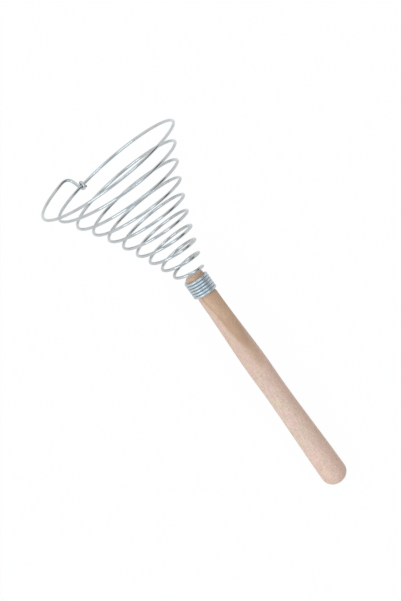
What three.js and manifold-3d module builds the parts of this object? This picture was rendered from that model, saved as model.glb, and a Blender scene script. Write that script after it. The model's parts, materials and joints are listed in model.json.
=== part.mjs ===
import * as THREE from 'three';
import { mergeVertices } from 'three/addons/utils/BufferGeometryUtils.js';
import Module from 'manifold-3d';

// A spiral whisk: a turned beech handle and one length of springy steel wire.
// The wire starts as a peg in the handle's neck, is wound tightly round that neck, opens into a cone
// of free turns, bends back at the mouth and is tied round its own last turn but one.
// The pieces are modelled along +X, from the butt of the handle (x = 0) to the mouth, and the whisk is
// then laid down on its butt and its wide end. Sizes are in millimetres, angles in degrees.

// Driving dimensions of the handle
const handleLength = 173.3;
const buttDiameter = 17.8;
const buttDomeLength = 8.1;
const waistDiameter = 15.6;
const waistFromButt = 77;
const swellDiameter = 16.1;
const swellFromButt = 98;
const neckDiameter = 13.6;
const neckLength = 23;
const seatDiameter = 12.6;
const shoulderLength = 1;
const endRounding = 1.2;

// Driving dimensions of the wire and of its fit
const wireDiameter = 2;
const seatClearance = 0.3;
const turnClearance = 0.5;

// Driving dimensions of the winding on the neck and of the peg that starts it
const windingTurns = 5.75;
const woodPastWinding = 3.7;
const pegLength = 6;
const pegBendRadius = 2;

// Driving dimensions of the free cone of turns: flarePower says how late it widens to its mouth,
// and pitchGrowth how much the spacing of its turns opens up
const coilTurns = 10.15;
const coilLength = 100.2;
const mouthDiameter = 116;
const growthPerTurn = 3.23;
const flarePower = 3.07;
const pitchGrowth = 0.112;
const takeOffTurns = 0.1;
const takeOffLift = 0.6;
const coilLean = 2.04;
const mouthTilt = 4.97;
const tiltPower = 2.08;

// Driving dimensions of the tied end. The tie draws the strand it holds towards the mouth: bowHeight is
// how far, bowTurn where along the cone, and bowSpread over how many turns.
const tieTurns = 2;
const tieOffset = 6.8;
const bowHeight = 2;
const bowTurn = 8.95;
const bowSpread = 0.145;
const bendReach = 11.5;
const legReach = 6.5;

// How finely round forms are divided
const latheSegments = 40;
const profileDivisions = 6;
const wireSides = 6;
const stepsPerTurn = 24;
const bendSteps = 5;
const legSteps = 10;
const stepsPerTie = 16;

// How often the lying position is worked out again from the corners that touch the table
const settlingPasses = 8;

// Points of the wire closer than this along it are one stretch, and no gap is measured between them
const oneStretch = 7.2;

const wireRadius = wireDiameter / 2;
const sideBySide = wireDiameter + turnClearance;
const windingRadius = seatDiameter / 2 + seatClearance + wireRadius;
const windingEnd = handleLength - woodPastWinding;
const windingStart = windingEnd - windingTurns * sideBySide;
const shoulderEnd = windingStart - wireDiameter;
const mouthRadius = mouthDiameter / 2;

const wasm = await Module();
wasm.setup();

// A closed geometry reduced to shared corners, without the flat triangles at a lathe's poles
function weld(geometry) {
  const bare = geometry.clone();
  bare.deleteAttribute('normal');
  bare.deleteAttribute('uv');
  const merged = mergeVertices(bare);
  const corners = merged.index.array;
  const kept = [];
  for (let i = 0; i < corners.length; i += 3) {
    const [a, b, c] = corners.slice(i, i + 3);
    if (a !== b && b !== c && c !== a) kept.push(a, b, c);
  }
  merged.setIndex(kept);
  return merged;
}

function solidFrom(geometry) {
  const welded = weld(geometry);
  const vertProperties = new Float32Array(welded.getAttribute('position').array);
  const triVerts = new Uint32Array(welded.index.array);
  return new wasm.Manifold(new wasm.Mesh({ numProp: 3, vertProperties, triVerts }));
}

function geometryFrom(solid) {
  const mesh = solid.getMesh();
  const geometry = new THREE.BufferGeometry();
  geometry.setAttribute('position', new THREE.BufferAttribute(mesh.vertProperties, 3));
  geometry.setIndex(new THREE.BufferAttribute(mesh.triVerts, 1));
  geometry.computeVertexNormals();
  return geometry;
}

// A round bar swept along points, with flat ends. Each ring of corners is turned as little as
// possible from the ring before it, so that the bar doesn't twist, and reaches out a little so that
// the faceted section has the round one's area.
function sweep(points, radius, sides) {
  const last = points.length - 1;
  const sector = (2 * Math.PI) / sides;
  const reach = radius * Math.sqrt(sector / Math.sin(sector));
  const corners = [];
  const triangles = [];
  let normal = new THREE.Vector3(1, 0, 0);
  points.forEach((point, ring) => {
    const before = points[Math.max(ring - 1, 0)];
    const after = points[Math.min(ring + 1, last)];
    const tangent = after.clone().sub(before).normalize();
    normal = normal.clone().projectOnPlane(tangent).normalize();
    const binormal = new THREE.Vector3().crossVectors(tangent, normal);
    for (let side = 0; side < sides; side++) {
      const corner = point.clone();
      corner.addScaledVector(normal, reach * Math.cos(sector * side));
      corner.addScaledVector(binormal, reach * Math.sin(sector * side));
      corners.push(...corner.toArray());
    }
  });
  for (let ring = 0; ring < last; ring++) {
    for (let side = 0; side < sides; side++) {
      const here = ring * sides + side;
      const beside = ring * sides + ((side + 1) % sides);
      triangles.push(here, beside, beside + sides, here, beside + sides, here + sides);
    }
  }
  for (let side = 1; side < sides - 1; side++) {
    const end = last * sides;
    triangles.push(0, side + 1, side);
    triangles.push(end, end + side, end + side + 1);
  }
  const geometry = new THREE.BufferGeometry();
  geometry.setAttribute('position', new THREE.Float32BufferAttribute(corners, 3));
  geometry.setIndex(triangles);
  geometry.computeVertexNormals();
  return geometry;
}

// Directions round the axis at a count of turns: outward, and along the winding
function outwardAt(turn) {
  const angle = 2 * Math.PI * turn;
  return new THREE.Vector3(0, Math.cos(angle), -Math.sin(angle));
}

function alongAt(turn) {
  const angle = 2 * Math.PI * turn;
  return new THREE.Vector3(0, -Math.sin(angle), -Math.cos(angle));
}

// Centre line of the winding and of the free cone. Turn 0 is where the wire leaves the neck, turns
// below it lie side by side, and the rise after it starts gently over about takeOffTurns.
function wireAt(turn) {
  const free = turn > 0 ? turn - takeOffTurns * (1 - Math.exp(-turn / takeOffTurns)) : 0;
  const share = free / coilTurns;
  const flare = mouthRadius - windingRadius - growthPerTurn * coilTurns;
  const radius = windingRadius + growthPerTurn * free + flare * share ** flarePower;
  const rise = coilLength * ((1 - pitchGrowth) * share + pitchGrowth * share ** 2);
  const tilt = THREE.MathUtils.degToRad(mouthTilt) * share ** tiltPower;
  const point = outwardAt(turn).multiplyScalar(radius);
  const across = point.y;
  point.y = across * Math.cos(tilt) + rise * Math.tan(THREE.MathUtils.degToRad(coilLean));
  point.x = windingEnd + sideBySide * (turn - free) + rise - across * Math.sin(tilt);
  point.x += takeOffLift * (1 - Math.exp(-Math.max(turn, 0) / takeOffTurns));
  point.x += bowHeight * Math.exp(-(((turn - bowTurn) / bowSpread) ** 2));
  return point;
}

// The wire's start: a peg driven straight into the neck, and the bend that brings it onto the winding
function pegPoints() {
  const outward = outwardAt(-windingTurns);
  const along = alongAt(-windingTurns);
  const bendCentre = wireAt(-windingTurns).addScaledVector(outward, -pegBendRadius);
  const points = [];
  for (let step = 0; step < bendSteps; step++) {
    const angle = (Math.PI / 2) * (step / bendSteps - 1);
    const point = bendCentre.clone();
    point.addScaledVector(outward, pegBendRadius * Math.cos(angle));
    point.addScaledVector(along, pegBendRadius * Math.sin(angle));
    points.push(point);
  }
  points.unshift(points[0].clone().addScaledVector(outward, -pegLength));
  return points;
}

function coilPoints() {
  const turns = windingTurns + coilTurns;
  const steps = Math.round(turns * stepsPerTurn);
  const points = [];
  for (let step = 0; step <= steps; step++) {
    points.push(wireAt((turns * step) / steps - windingTurns));
  }
  return points;
}

// The wire's end: it bends back at the mouth, passes outside the strand one turn before and is tied
// round it. The leg between bend and tie arrives in the direction of the tie's own helix.
function tiePoints(coil) {
  const end = coil.at(-1);
  const endDirection = end.clone().sub(coil.at(-2)).normalize();
  const strandStart = coil.at(-1 - stepsPerTurn);
  const strand = coil.at(-stepsPerTurn).clone().sub(strandStart).normalize();
  const knot = strandStart.clone().addScaledVector(strand, tieOffset);
  const across = knot.clone().sub(end).projectOnPlane(strand).normalize();
  const outside = new THREE.Vector3().crossVectors(strand, across);
  const arrival = across.clone().multiplyScalar(2 * Math.PI).add(strand).normalize();
  const meeting = knot.clone().addScaledVector(outside, sideBySide);
  const leg = new THREE.CubicBezierCurve3(
    end,
    end.clone().addScaledVector(endDirection, bendReach),
    meeting.clone().addScaledVector(arrival, -legReach),
    meeting,
  );
  const points = leg.getPoints(legSteps).slice(1);
  for (let step = 1; step <= tieTurns * stepsPerTie; step++) {
    const turn = step / stepsPerTie;
    const angle = 2 * Math.PI * turn;
    const point = knot.clone().addScaledVector(strand, sideBySide * turn);
    point.addScaledVector(outside, sideBySide * Math.cos(angle));
    point.addScaledVector(across, sideBySide * Math.sin(angle));
    points.push(point);
  }
  return points;
}

// Least gap between two stretches of the wire that aren't neighbours along it
function leastGap(points) {
  const travelled = [0];
  for (let i = 1; i < points.length; i++) {
    travelled.push(travelled[i - 1] + points[i].distanceTo(points[i - 1]));
  }
  const nearest = new THREE.Vector3();
  let least = Infinity;
  for (let i = 0; i < points.length; i++) {
    for (let j = i + 1; j < points.length - 1; j++) {
      if (travelled[j] - travelled[i] < oneStretch) continue;
      new THREE.Line3(points[j], points[j + 1]).closestPointToPoint(points[i], true, nearest);
      least = Math.min(least, nearest.distanceTo(points[i]) - wireDiameter);
    }
  }
  return least;
}

const peg = pegPoints();
const coil = coilPoints();
const tie = tiePoints(coil);
const wirePoints = [...peg, ...coil, ...tie];
console.log(`wire: least gap to itself ${leastGap(wirePoints).toFixed(2)} mm`);

// Handle: one turned profile with a shallow seat for the winding, drilled for the peg
function handleGeometry() {
  const neckRadius = neckDiameter / 2;
  const seatRadius = seatDiameter / 2;
  const profile = new THREE.Path();
  profile.absellipse(0, buttDomeLength, buttDiameter / 2, buttDomeLength, -Math.PI / 2, 0);
  profile.splineThru([
    new THREE.Vector2(waistDiameter / 2, waistFromButt),
    new THREE.Vector2(swellDiameter / 2, swellFromButt),
    new THREE.Vector2(neckRadius, handleLength - neckLength),
  ]);
  profile.lineTo(neckRadius, shoulderEnd - shoulderLength);
  profile.lineTo(seatRadius, shoulderEnd);
  profile.lineTo(seatRadius, handleLength - endRounding);
  profile.absarc(seatRadius - endRounding, handleLength - endRounding, endRounding, 0, Math.PI / 2);
  profile.lineTo(0, handleLength);
  const turned = new THREE.LatheGeometry(profile.getPoints(profileDivisions), latheSegments);
  turned.rotateZ(-Math.PI / 2);
  const drilled = peg.slice(0, -1);
  const bottom = drilled[0].clone().sub(drilled[1]).setLength(seatClearance);
  drilled[0] = drilled[0].clone().add(bottom);
  const hole = sweep(drilled, wireRadius + seatClearance, wireSides);
  return geometryFrom(solidFrom(turned).subtract(solidFrom(hole)));
}

const beech = new THREE.MeshStandardMaterial({ color: 0xdcc3b0, roughness: 0.75, metalness: 0 });
const steel = new THREE.MeshStandardMaterial({ color: 0xc4c9cb, roughness: 0.3, metalness: 1 });

const handle = new THREE.Mesh(handleGeometry(), beech);
handle.name = 'handle';
const wire = new THREE.Mesh(sweep(wirePoints, wireRadius, wireSides), steel);
wire.name = 'spiral_wire';

// The direction that is up when the whisk lies on a table: it rests on its butt and on the wide end
// of the wire, to the left and to the right of its axis
function upAtRest() {
  const cornersOf = (mesh) => {
    const position = mesh.geometry.getAttribute('position');
    return Array.from({ length: position.count }, (_, i) => {
      return new THREE.Vector3().fromBufferAttribute(position, i);
    });
  };
  const wood = cornersOf(handle);
  const left = cornersOf(wire).filter((corner) => corner.y > 0);
  const right = cornersOf(wire).filter((corner) => corner.y < 0);
  let up = new THREE.Vector3(0, 0, 1);
  for (let pass = 0; pass < settlingPasses; pass++) {
    const lowest = (corners) => corners.reduce((a, b) => (b.dot(up) < a.dot(up) ? b : a));
    const table = new THREE.Plane();
    table.setFromCoplanarPoints(lowest(right), lowest(left), lowest(wood));
    up = table.normal;
  }
  return up;
}

// The whisk lies with its mouth towards +X, and its origin is under the middle of its box
const whisk = new THREE.Group();
whisk.add(handle, wire);
const up = upAtRest();
const forward = new THREE.Vector3(1, 0, 0).projectOnPlane(up).normalize();
const leftward = new THREE.Vector3().crossVectors(up, forward);
const lying = new THREE.Matrix4().makeBasis(forward, leftward, up).transpose();
whisk.quaternion.setFromRotationMatrix(lying);
const box = new THREE.Box3().setFromObject(whisk, true);
const middle = box.getCenter(new THREE.Vector3());
whisk.position.set(-middle.x, -middle.y, -box.min.z);

const assembly = new THREE.Group();
assembly.add(whisk);

export default assembly;
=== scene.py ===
import json
import math

import bmesh
import bpy
from mathutils import Matrix, Vector
from mathutils.geometry import interpolate_bezier


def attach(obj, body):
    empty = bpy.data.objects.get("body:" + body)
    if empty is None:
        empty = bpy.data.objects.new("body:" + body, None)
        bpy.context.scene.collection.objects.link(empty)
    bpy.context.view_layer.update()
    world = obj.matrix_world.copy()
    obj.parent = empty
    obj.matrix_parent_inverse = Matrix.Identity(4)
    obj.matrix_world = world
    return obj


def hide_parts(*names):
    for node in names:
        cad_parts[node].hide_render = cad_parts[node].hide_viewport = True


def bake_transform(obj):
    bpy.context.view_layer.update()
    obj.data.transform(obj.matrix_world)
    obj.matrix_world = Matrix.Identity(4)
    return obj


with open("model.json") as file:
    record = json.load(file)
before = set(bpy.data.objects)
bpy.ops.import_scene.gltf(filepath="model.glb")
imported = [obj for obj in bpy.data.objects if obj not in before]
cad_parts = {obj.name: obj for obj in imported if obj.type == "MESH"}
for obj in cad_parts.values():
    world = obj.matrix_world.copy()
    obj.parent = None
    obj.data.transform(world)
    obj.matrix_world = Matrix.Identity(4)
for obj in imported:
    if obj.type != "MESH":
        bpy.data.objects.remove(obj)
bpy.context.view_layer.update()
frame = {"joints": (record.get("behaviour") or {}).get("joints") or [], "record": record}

# Handle
# A beech stick turned in one piece: a domed butt, a slim waist, a swell under the fingers and a
# straight neck with a shallow seat for the wire. It is left bare, and drilled once for the peg.

mm = 0.001

handle_length = 173.3 * mm
butt_radius = 8.9 * mm
butt_dome = 8.1 * mm
seat_radius = 6.55 * mm
shoulder_length = 1.0 * mm
end_rounding = 1.2 * mm

# Places on the outline: how far from the butt, and how far from the axis
waist = Vector((77.0, 7.8, 0.0)) * mm
swell = Vector((98.0, 8.1, 0.0)) * mm
neck = Vector((150.0, 6.93, 0.0)) * mm

# The share of each stretch in which the outline keeps to the axis, and the facets round the stick
curve_reach = 0.3
turning_steps = 96

# The winding that the seat is turned for
wire_radius = 1.03 * mm
winding_turns = 5.75
winding_pitch = 2.07 * mm
winding_gap = 0.02 * mm
bare_end = 3.1 * mm
seat_margin = 1.4 * wire_radius
winding_radius = seat_radius + wire_radius + winding_gap
winding_end = handle_length - bare_end
winding_start = winding_end - winding_turns * winding_pitch
seat_start = winding_start - seat_margin

# The peg at the wire's start, and the hole that is drilled for it
peg_bend = 1.3 * mm
peg_length = 6.0 * mm
peg_clearance = 0.15 * mm
hole_radius = wire_radius + peg_clearance
hole_spare = 0.5 * mm
hole_depth = peg_length + hole_spare
hole_sides = 24

merge_distance = 0.001 * mm
crease_angle = math.radians(35)

# The whisk lies on its butt and on the wide end of the wire, rolled a little to its side. Pieces are
# made along +X, from the butt, with +Y to the left and +Z up, and are then laid in that place.
roll = math.radians(1.4446)
mounts = {mount["name"]: mount for mount in frame["record"]["mounts"]}
axis = Vector(frame["joints"][0]["axis"]).normalized()
left = Matrix.Rotation(roll, 3, axis) @ Vector((0, 1, 0))
up = axis.cross(left)
butt = Vector(mounts["neck_end"]["pos_m"]) - axis * handle_length
lying = Matrix.LocRotScale(butt, Matrix((axis, left, up)).transposed(), None)


def quarter_round(centre, length, height, start, count):
    """A quarter of an ellipse in the outline's plane, clockwise from the angle start."""
    angles = [start - math.pi / 2 * step / (count - 1) for step in range(count)]
    return [centre + Vector((length * math.cos(angle), height * math.sin(angle), 0)) for angle in angles]


def turned_curve(start, end, count):
    """The outline between two places where it runs along the axis."""
    reach = Vector((curve_reach * (end.x - start.x), 0, 0))
    return interpolate_bezier(start, start + reach, end - reach, end, count)


def handle_outline():
    """Half of the stick's section, from the tip of the butt to the middle of the sawn end."""
    dome_centre = Vector((butt_dome, 0, 0))
    dome_end = Vector((butt_dome, butt_radius, 0))
    rounding = Vector((handle_length - end_rounding, seat_radius - end_rounding, 0))
    points = quarter_round(dome_centre, butt_dome, butt_radius, start=math.pi, count=16)
    points += turned_curve(dome_end, waist, count=24)
    points += turned_curve(waist, swell, count=14)
    points += turned_curve(swell, neck, count=18)
    points += [Vector((seat_start - shoulder_length, neck.y, 0))]
    points += [Vector((seat_start, seat_radius, 0))]
    points += quarter_round(rounding, end_rounding, end_rounding, start=math.pi / 2, count=6)
    points += [Vector((handle_length, 0, 0))]
    return points


def whisk_object(name, shape):
    """A finished bmesh as an object of the scene, laid in the whisk's place."""
    shape.transform(lying)
    mesh = bpy.data.meshes.new(name)
    shape.to_mesh(mesh)
    shape.free()
    made = bpy.data.objects.new(name, mesh)
    bpy.context.scene.collection.objects.link(made)
    return made


def worked_mesh(made):
    """The mesh of an object with its modifiers or its bevel worked in."""
    graph = bpy.context.evaluated_depsgraph_get()
    return bpy.data.meshes.new_from_object(made.evaluated_get(graph))


def shade_round(mesh):
    """Smooth shading that keeps the creases."""
    mesh.shade_smooth()
    mesh.set_sharp_from_angle(angle=crease_angle)


def outward_at(turn):
    """The direction away from the axis at a count of turns of the wire, which goes round it."""
    angle = math.tau * turn
    return Vector((0, math.cos(angle), -math.sin(angle)))


def onward_at(turn):
    """The direction in which the wire goes round there: outward a quarter of a turn later."""
    return outward_at(turn + 0.25)


stick = bmesh.new()
outline = [stick.verts.new(point) for point in handle_outline()]
edges = [stick.edges.new(pair) for pair in zip(outline, outline[1:])]
bmesh.ops.spin(
    stick, geom=outline + edges, cent=(0, 0, 0), axis=(1, 0, 0), dvec=(0, 0, 0),
    angle=math.tau, steps=turning_steps, use_merge=True,
)
bmesh.ops.remove_doubles(stick, verts=stick.verts, dist=merge_distance)
bmesh.ops.recalc_face_normals(stick, faces=stick.faces)
handle = whisk_object("turned_handle", stick)

peg_root = Vector((winding_start, 0, 0))
peg_root += outward_at(-winding_turns) * (winding_radius - peg_bend)
peg_root -= onward_at(-winding_turns) * peg_bend

drill = bmesh.new()
bmesh.ops.create_cone(
    drill, cap_ends=True, segments=hole_sides, depth=2 * hole_depth,
    radius1=hole_radius, radius2=hole_radius,
)
drill_turn = Vector((0, 0, 1)).rotation_difference(outward_at(-winding_turns))
drill.transform(Matrix.LocRotScale(peg_root, drill_turn, None))
drill_bit = whisk_object("drill_bit", drill)

drilling = handle.modifiers.new("peg_hole", "BOOLEAN")
drilling.operation = "DIFFERENCE"
drilling.solver = "EXACT"
drilling.object = drill_bit
drilled = worked_mesh(handle)
handle.modifiers.clear()
handle.data = drilled
bpy.data.objects.remove(drill_bit)
shade_round(handle.data)


class Tone:
    """A value in a finish's nodes. Sums on it add Math nodes, and node() adds any other node."""

    def __init__(self, tree, socket=None):
        self.tree = tree
        self.socket = socket

    def node(self, kind, settings, inputs, output=0):
        """A new node of a kind. Its settings come first, then the values or links of its sockets."""
        made = self.tree.nodes.new("ShaderNode" + kind)
        for name, value in settings.items():
            setattr(made, name, value)
        for name, value in inputs.items():
            if isinstance(value, Tone):
                self.tree.links.new(value.socket, made.inputs[name])
            else:
                made.inputs[name].default_value = value
        return Tone(self.tree, made.outputs[output])

    def sibling(self, output):
        """Another output of the node that this value comes from."""
        return Tone(self.tree, self.socket.node.outputs[output])

    def feed(self, socket):
        """Links this value to a socket of a shader."""
        self.tree.links.new(self.socket, socket)

    def sum(self, operation, first, second):
        return self.node("Math", {"operation": operation}, {0: first, 1: second})

    def __add__(self, other):
        return self.sum("ADD", self, other)

    def __sub__(self, other):
        return self.sum("SUBTRACT", self, other)

    def __rsub__(self, other):
        return self.sum("SUBTRACT", other, self)

    def __mul__(self, other):
        return self.sum("MULTIPLY", self, other)

    __radd__ = __add__
    __rmul__ = __mul__

    def rising(self, low, high):
        """0 below low, 1 above high, and smooth between them."""
        ends = {"Value": self, "From Min": low, "From Max": high}
        return self.node("MapRange", {"interpolation_type": "SMOOTHSTEP"}, ends)

    def tint(self, first, second):
        """The first colour where this value is 0 and the second where it is 1."""
        return self.node("Mix", {"data_type": "RGBA"}, {0: self, 6: first, 7: second}, 2)

    def stretched(self, scale, shift=(0, 0, 0)):
        """These coordinates scaled and shifted."""
        return self.node("Mapping", {}, {"Vector": self, "Scale": scale, "Location": shift})

    def noise(self, detail):
        """Cloudy noise, about one cloud to each unit of these coordinates."""
        return self.node("TexNoise", {}, {"Vector": self, "Scale": 1.0, "Detail": detail})


def new_finish(name):
    """A material, its shader and a first value to make nodes with."""
    material = bpy.data.materials.new(name)
    material.use_nodes = True
    return material, material.node_tree.nodes["Principled BSDF"], Tone(material.node_tree)


def place_on_whisk(tone):
    """A point's place in millimetres: from the butt along the handle, to its left and up."""
    spot = tone.node("TexCoord", {}, {}, "Object")
    lay = {"Vector": spot, "Location": butt, "Rotation": lying.to_euler(), "Scale": (mm, mm, mm)}
    return tone.node("Mapping", {"vector_type": "TEXTURE"}, lay)


# Bare beech, pink and straw by turns, and warmer at both ends. Its right side is darker and warmer:
# partly the heartwood's colour, partly painted shade of the side turned from the lamps. A tan growth ring
# with a red edge and a dark vein before it runs out of the upper face in an arch. Over it lie streaks,
# pores, short dark ray flecks, raised fibres, thirsty end grain and faint rings of the sanding.
pink_beech = (0.838, 0.568, 0.508, 1)
straw_beech = (0.796, 0.608, 0.462, 1)
butt_beech = (0.900, 0.555, 0.435, 1)
# Darker warm beech: partly the heartwood's colour, partly painted shade for the handle's right side
heart_and_shade_beech = (0.745, 0.470, 0.355, 1)
tan_beech = (0.610, 0.362, 0.205, 1)
red_tan = (0.475, 0.250, 0.165, 1)
late_beech = (0.600, 0.455, 0.355, 1)
ray_brown = (0.450, 0.290, 0.195, 1)
pore_brown = (0.540, 0.385, 0.285, 1)
end_brown = (0.700, 0.475, 0.345, 1)

# The tree's rings in millimetres: where the pith was, how far the grain runs out along the handle, how
# much the rings wander and how wide they are, and how far from the pith the tan ring starts
pith_depth = 40.0
pith_side = -15.5
grain_slope = 0.1
ring_wander = 2.0
ring_width = 2.3
tan_from = 62.0

# Where changes along and across the handle start and end, in millimetres from the butt or to the left
butt_blush_ends = (8.0, 45.0)
neck_blush_ends = (60.0, 115.0)
red_edge_fades = (112.0, 138.0)
vein_rises = (96.0, 112.0)
vein_fades = (122.0, 140.0)
vein_side = -4.2
# Across the handle, the painted shade of its right side and the heartwood colour fade out between these
heart_and_shade_ends = (-8.0, 4.0)
outer_tan_ends = (-3.0, 3.0)
sawn_end = handle_length / mm

# The room for one ray fleck, in millimetres along the handle, across it and up
ray_size = (3.2, 0.7, 6.0)

beech, beech_shader, tone = new_finish("bare_beech")
grain = place_on_whisk(tone)
along = tone.node("SeparateXYZ", {}, {"Vector": grain})
across = along.sibling("Y")

wander = grain.stretched((0.02, 0.1, 0.1)).noise(2.0)
cross_cut = grain.stretched((0, 1, 1), shift=(0, pith_side, pith_depth))
from_pith = tone.node("VectorMath", {"operation": "LENGTH"}, {0: cross_cut}, "Value")
from_tan = from_pith + along * grain_slope + (wander - 0.5) * ring_wander - tan_from
ring = tone.node("Math", {"operation": "FRACT"}, {0: from_tan * (1 / ring_width)})
late_wood = ring.rising(0.3, 0.98)
tan_wood = from_tan.rising(-0.35, 0.5)
faded_tan = from_tan.rising(0.4, 1.8)
outer_tan = from_tan.rising(-1.8, -0.8) * (1 - across.rising(*outer_tan_ends))
from_vein = across - vein_side
vein_line = 1 - (from_vein * from_vein).rising(0.3, 3.0)
vein = vein_line * (along.rising(*vein_rises) - along.rising(*vein_fades)) * outer_tan

rays = grain.stretched([1 / length for length in ray_size])
ray = tone.node("TexVoronoi", {}, {"Vector": rays, "Scale": 1.0})
ray_chance = tone.node("SeparateColor", {}, {"Color": ray.sibling("Color")})
fleck = (1 - ray.rising(0.16, 0.42)) * ray_chance.rising(0.2, 0.65)

streak = grain.stretched((0.06, 0.9, 0.9), shift=(0, 5, 2)).noise(3.0).rising(0.35, 0.7)
pores = grain.stretched((0.11, 4.0, 4.0)).noise(2.0).rising(0.54, 0.72)
blotch = grain.stretched((0.12, 0.2, 0.2), shift=(3, 0, 0)).noise(3.0).rising(0.42, 0.6)
mottle = grain.stretched((0.14, 0.9, 0.9), shift=(7, 3, 0)).noise(3.0).rising(0.4, 0.7)
fuzz = grain.stretched((0.9, 1.1, 1.1)).noise(2.0).rising(0.43, 0.6)

# Painted shade: the right side, turned from the lamps, is darkened and warmed along with the heartwood
# colour
heart_and_shade = 1 - across.rising(*heart_and_shade_ends)
neck_blush = along.rising(*neck_blush_ends)
butt_blush = 1 - along.rising(*butt_blush_ends)
end_grain = along.rising(sawn_end - 0.9, sawn_end - 0.2)
butt_grain = 1 - along.rising(0.2, 5.0)
streaked_tan = tan_wood * (0.7 - faded_tan * 0.25 + streak * 0.4)
red_edge = (tan_wood - faded_tan) * (0.5 - along.rising(*red_edge_fades) * 0.25)
pale_mottle = mottle * (0.45 - tan_wood * 0.3)

# What stains the pale wood, from the widest to the finest, how strongly and in which colour
stains = (
    (neck_blush, 0.5, heart_and_shade_beech),
    (butt_blush, 0.4, butt_beech),
    # painted shade of the right side, together with the heartwood's colour
    (heart_and_shade, 1.0, heart_and_shade_beech),
    (late_wood, 0.16, late_beech),
    (outer_tan, 0.6, tan_beech),
    (streaked_tan, 1.0, tan_beech),
    (red_edge, 1.0, red_tan),
    (tan_wood * (1 - blotch), 0.2, red_tan),
    (vein, 0.2, ray_brown),
    (pale_mottle, 1.0, late_beech),
    (pores, 0.5, pore_brown),
    (fleck, 0.45, ray_brown),
    (fuzz, 0.3, ray_brown),
    (end_grain, 0.8, end_brown),
    (butt_grain, 0.04, end_brown),
)
beech_colour = blotch.tint(pink_beech, straw_beech)
for mask, strength, stain in stains:
    beech_colour = (mask * strength).tint(beech_colour, stain)
beech_colour.feed(beech_shader.inputs["Base Color"])
(0.66 + pores * 0.1 - fleck * 0.12).feed(beech_shader.inputs["Roughness"])
beech_shader.inputs["Specular IOR Level"].default_value = 0.32
beech_shader.inputs["Sheen Weight"].default_value = 0.15

sanding = grain.stretched((5.0, 0.05, 0.05)).noise(1.0)
relief = sanding * 0.25 - pores * 0.5 - fleck * 0.3
bump = tone.node("Bump", {}, {"Height": relief, "Strength": 0.35, "Distance": 0.05 * mm})
bump.feed(beech_shader.inputs["Normal"])
handle.data.materials.append(beech)

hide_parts("handle")
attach(handle, "handle")

# Wire
# One length of bright tinned steel wire: a peg driven into the neck, a tight winding round it, a cone
# of free turns that opens to the mouth, and a leg bent back and twisted round the turn before it.

# The cone, which opens by an even growth and a late flare, leans, and has a tilted mouth
coil_turns = 10.15
coil_length = 100.2 * mm
mouth_radius = 58.0 * mm
growth_per_turn = 3.23 * mm
flare_power = 3.07
pitch_growth = 0.112
coil_lean = math.radians(2.04)
mouth_tilt = math.radians(4.97)
tilt_power = 2.08

# The first free turns: how soon the wire leaves the winding's pitch, and a wave that dies away
take_off_turns = 0.1
wave_height = 1.0 * mm
wave_turns = 6.0
wave_fade = 3.0

# The leg and its tie, which draws the strand that it holds and the last turn towards each other
bend_reach = 11.5 * mm
leg_reach = 4.0 * mm
tie_turns = 1.15
tie_offset = 7.1 * mm
tie_pitch = 2.4 * mm
tie_clearance = 0.1 * mm
tie_pull = 2.0 * mm
end_pull = 0.7 * mm
pull_turn = 8.95
pull_spread = 0.145
cut_end_thickness = 0.8

# How finely each stretch of the wire is divided
peg_steps = 12
steps_per_turn = 72
leg_steps = 48
twist_steps = 40


def wire_at(turn):
    """The wire's centre line. Turn 0 is where it leaves the neck, and the winding lies below it."""
    free = 0.0
    if turn > 0:
        free = turn - take_off_turns * (1 - math.exp(-turn / take_off_turns))
    share = free / coil_turns
    flare = mouth_radius - winding_radius - growth_per_turn * coil_turns
    radius = winding_radius + growth_per_turn * free + flare * share ** flare_power
    rise = coil_length * ((1 - pitch_growth) * share + pitch_growth * share ** 2)
    tilt = mouth_tilt * share ** tilt_power
    loose = max(turn, 0)
    wave = math.sin(math.tau * loose / wave_turns) * math.exp(-loose / wave_fade)
    point = outward_at(turn) * radius
    aside = point.y
    point.y = aside * math.cos(tilt) + rise * math.tan(coil_lean)
    point.x = winding_end + winding_pitch * (turn - free) + rise - aside * math.sin(tilt)
    point.x += wave_height * wave
    point.x += tie_pull * math.exp(-(((turn - pull_turn) / pull_spread) ** 2))
    point.x -= end_pull * math.exp(-(((turn - coil_turns) / pull_spread) ** 2))
    return point


def peg_points():
    """The peg's straight run out of the wood, and the bend that lays the wire on its seat."""
    outward = outward_at(-winding_turns)
    onward = onward_at(-winding_turns)
    bend_centre = peg_root + onward * peg_bend
    points = [peg_root - outward * peg_length]
    for step in range(peg_steps):
        angle = math.pi / 2 * (step / peg_steps - 1)
        points.append(bend_centre + (outward * math.cos(angle) + onward * math.sin(angle)) * peg_bend)
    return points


def coil_points():
    """The winding and the cone, from the end of the peg's bend to the mouth."""
    turns = winding_turns + coil_turns
    steps = round(turns * steps_per_turn)
    return [wire_at(turns * step / steps - winding_turns) for step in range(steps + 1)]


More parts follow.
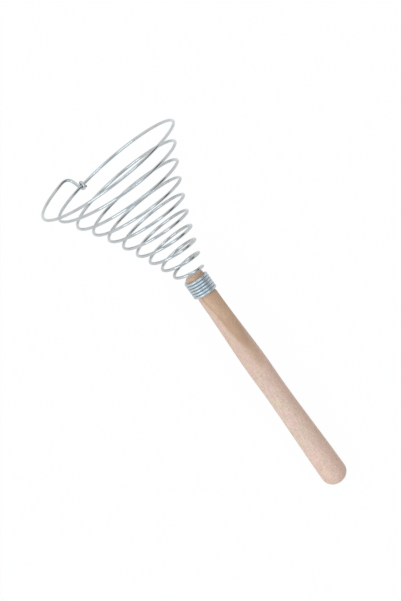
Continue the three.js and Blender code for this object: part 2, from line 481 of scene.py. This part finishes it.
def tie_points(coil):
    """The leg that bends back at the mouth, and its twists round the strand one turn before."""
    end = coil[-1]
    end_direction = (end - coil[-2]).normalized()
    held = wire_at(coil_turns - 1)
    held_round = math.tau * math.hypot(held.y, held.z)
    knot_turn = coil_turns - 1 + tie_offset / held_round
    knot = wire_at(knot_turn)
    strand = (wire_at(knot_turn + tie_pitch / held_round) - knot).normalized()
    across_strand = (knot - end) - strand * (knot - end).dot(strand)
    across_strand.normalize()
    outside = strand.cross(across_strand)
    arrival = (across_strand * math.tau + strand).normalized()
    twist_radius = 2 * wire_radius + tie_clearance
    meeting = knot + outside * twist_radius
    leaving = end + end_direction * bend_reach
    points = interpolate_bezier(end, leaving, meeting - arrival * leg_reach, meeting, leg_steps)[1:]
    for step in range(1, round(tie_turns * twist_steps) + 1):
        turn = step / twist_steps
        angle = math.tau * turn
        twist = outside * math.cos(angle) + across_strand * math.sin(angle)
        points.append(wire_at(knot_turn + tie_pitch * turn / held_round) + twist * twist_radius)
    return points


coil = coil_points()
wire_line = [lying @ point for point in peg_points() + coil + tie_points(coil)]

wire_curve = bpy.data.curves.new("wire_line", "CURVE")
wire_curve.dimensions = "3D"
wire_curve.bevel_depth = wire_radius
wire_curve.bevel_resolution = 6
wire_curve.use_fill_caps = True
strand_line = wire_curve.splines.new("POLY")
strand_line.points.add(len(wire_line) - 1)
for line_point, centre in zip(strand_line.points, wire_line):
    line_point.co = (*centre, 1)
strand_line.points[-1].radius = cut_end_thickness

bent_wire = bpy.data.objects.new("bent_wire", wire_curve)
bpy.context.scene.collection.objects.link(bent_wire)
wire_mesh = worked_mesh(bent_wire)
bpy.data.objects.remove(bent_wire)

wire_shape = bmesh.new()
wire_shape.from_mesh(wire_mesh)
bmesh.ops.remove_doubles(wire_shape, verts=wire_shape.verts, dist=merge_distance)
bmesh.ops.recalc_face_normals(wire_shape, faces=wire_shape.faces)
wire_shape.to_mesh(wire_mesh)
wire_shape.free()
shade_round(wire_mesh)
wire = bpy.data.objects.new("wound_wire", wire_mesh)
bpy.context.scene.collection.objects.link(wire)

# Bright tinned steel: clean, with the tin a little duller in patches.
# The tight winding's colour is tinted blue, a painted reflection of the cool light.
bright_tin = (0.568, 0.586, 0.588, 1)
dull_tin = (0.465, 0.482, 0.484, 1)
# Painted reflection: the blue that the tight winding would mirror from the cool ceiling and lamps
blue_reflection_tin = (0.536, 0.592, 0.626, 1)
free_from = winding_end / mm

tin, tin_shader, tone = new_finish("tinned_steel")
surface = place_on_whisk(tone)
wire_along = tone.node("SeparateXYZ", {}, {"Vector": surface})
dull = surface.stretched((0.09, 0.09, 0.09)).noise(3.0).rising(0.4, 0.7)
spangle = surface.stretched((0.9, 0.9, 0.9)).noise(2.0).rising(0.35, 0.7)
wound = 1 - wire_along.rising(free_from - 1.0, free_from + 4.0)
tin_colour = (dull * 0.6 + spangle * 0.25).tint(bright_tin, dull_tin)
# Painted reflection: the winding's colour is tinted blue as if it mirrored the cool light
wound.tint(tin_colour, blue_reflection_tin).feed(tin_shader.inputs["Base Color"])
(0.09 + dull * 0.08 + spangle * 0.05 + wound * 0.24).feed(tin_shader.inputs["Roughness"])
tin_shader.inputs["Metallic"].default_value = 1.0
wire.data.materials.append(tin)

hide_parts("spiral_wire")
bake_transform(wire)

# Table
# A wide white table that the whisk lies on. The camera sees it as white, with a trace of the soft shadow
# close to the whisk, and the bright wire mirrors more of that shadow.

table_half_width = 6.0
table_white = (0.82, 0.82, 0.82, 1)
white = (1, 1, 1, 1)
near_white = 0.97
near_mirrored_white = 0.7

table_shape = bmesh.new()
bmesh.ops.create_grid(table_shape, x_segments=1, y_segments=1, size=table_half_width)
table_mesh = bpy.data.meshes.new("table")
table_shape.to_mesh(table_mesh)
table_shape.free()
table = bpy.data.objects.new("table", table_mesh)
bpy.context.scene.collection.objects.link(table)

table_finish, table_shader, tone = new_finish("white_table")
table_shader.inputs["Base Color"].default_value = table_white
table_shader.inputs["Roughness"].default_value = 0.9
table_shader.inputs["Specular IOR Level"].default_value = 0.0
table_place = tone.node("TexCoord", {}, {}, "Object")
away = tone.node("VectorMath", {"operation": "LENGTH"}, {0: table_place}, "Value")
camera_ray = tone.node("LightPath", {}, {}, "Is Camera Ray")
glossy_ray = camera_ray.sibling("Is Glossy Ray")
clear_ray = camera_ray.sibling("Is Transmission Ray")
seen = (camera_ray + clear_ray) * (near_white + away.rising(0.15, 0.5) * (1 - near_white))
mirrored = glossy_ray * (near_mirrored_white + away.rising(0.1, 0.25) * (1 - near_mirrored_white))
glow = tone.node("Emission", {}, {"Color": white, "Strength": 1.0})
under = Tone(table_finish.node_tree, table_shader.outputs["BSDF"])
table_look = tone.node("MixShader", {}, {0: seen + mirrored, 1: under, 2: glow})
table_look.feed(table_finish.node_tree.nodes["Material Output"].inputs["Surface"])
table.data.materials.append(table_finish)

# Light
# A white room with a cool ceiling. The wall on the whisk's right is darker, with a dark doorway that the
# wire mirrors. Three soft lamps of cool light shine from high on the left, from above and from the mouth.

cool_ceiling = (0.65, 0.75, 0.84, 1)
dark_wall = (0.48, 0.50, 0.51, 1)
dark_door = (0.02, 0.04, 0.05, 1)
cool_light = (0.86, 0.95, 1.0)
lamp_distance = 1.8
camera_lean = math.radians(11.9)
to_camera = axis * math.sin(camera_lean) + up * math.cos(camera_lean)
dark_direction = (-left - axis * 0.27).normalized()

room = bpy.data.worlds.new("bright_room")
room.use_nodes = True
bpy.context.scene.world = room
tone = Tone(room.node_tree)
gaze = tone.node("TexCoord", {}, {}, "Generated")
height = tone.node("SeparateXYZ", {}, {"Vector": gaze}, "Z")
aim = {0: gaze, 1: dark_direction}
towards_dark = tone.node("VectorMath", {"operation": "DOT_PRODUCT"}, aim, "Value")
darkness = towards_dark.rising(0.25, 0.8) * (height.rising(0.0, 0.2) - height.rising(0.45, 0.85))
doorway = towards_dark.rising(0.5, 0.85) * (height.rising(0.08, 0.22) - height.rising(0.36, 0.52))
room_colour = height.rising(0.35, 0.8).tint(white, cool_ceiling)
room_colour = darkness.tint(room_colour, dark_wall)
room_colour = doorway.tint(room_colour, dark_door)
room_colour.feed(room.node_tree.nodes["Background"].inputs["Color"])


def soft_lamp(name, direction, size, power):
    """A square lamp of cool light that shines at the whisk from a direction."""
    lamp = bpy.data.lights.new(name, "AREA")
    lamp.color = cool_light
    lamp.size = size
    lamp.energy = power
    made = bpy.data.objects.new(name, lamp)
    made.location = direction.normalized() * lamp_distance
    made.rotation_euler = direction.to_track_quat("Z", "Y").to_euler()
    bpy.context.scene.collection.objects.link(made)


soft_lamp("key_lamp", to_camera * 0.85 + left * 0.6, size=1.0, power=7.0)
soft_lamp("top_lamp", to_camera * 0.9 - left * 0.4 - axis * 0.25, size=0.6, power=3.0)
soft_lamp("front_lamp", axis * 0.8 - left * 0.2 + up * 0.6, size=1.0, power=3.5)

# Camera
# It looks almost straight down on the lying whisk from far off, so that the picture has little
# perspective. The tip of the butt falls on a known pixel of the 401 by 601 picture.

picture_width, picture_height = 401, 601
pixel = 0.6678 * mm
butt_across, butt_down = 340.38, 481.66
picture_turn = math.radians(54.52)
camera_distance = 10.0
camera_sees_to = 100.0

along_picture = axis * math.cos(camera_lean) - up * math.sin(camera_lean)
picture_right = -along_picture * math.cos(picture_turn) - left * math.sin(picture_turn)
picture_up = along_picture * math.sin(picture_turn) - left * math.cos(picture_turn)
middle = butt + picture_right * (picture_width / 2 - butt_across) * pixel
middle += picture_up * (butt_down - picture_height / 2) * pixel

camera_data = bpy.data.cameras.new("camera")
camera_data.sensor_width = 36.0
camera_data.lens = camera_data.sensor_width * camera_distance / (picture_height * pixel)
camera_data.clip_end = camera_sees_to
camera = bpy.data.objects.new("camera", camera_data)
looking = Matrix((picture_right, picture_up, to_camera)).transposed()
camera.matrix_world = Matrix.LocRotScale(middle + to_camera * camera_distance, looking, None)
bpy.context.scene.collection.objects.link(camera)
bpy.context.scene.camera = camera
bpy.context.scene.view_settings.view_transform = "Standard"
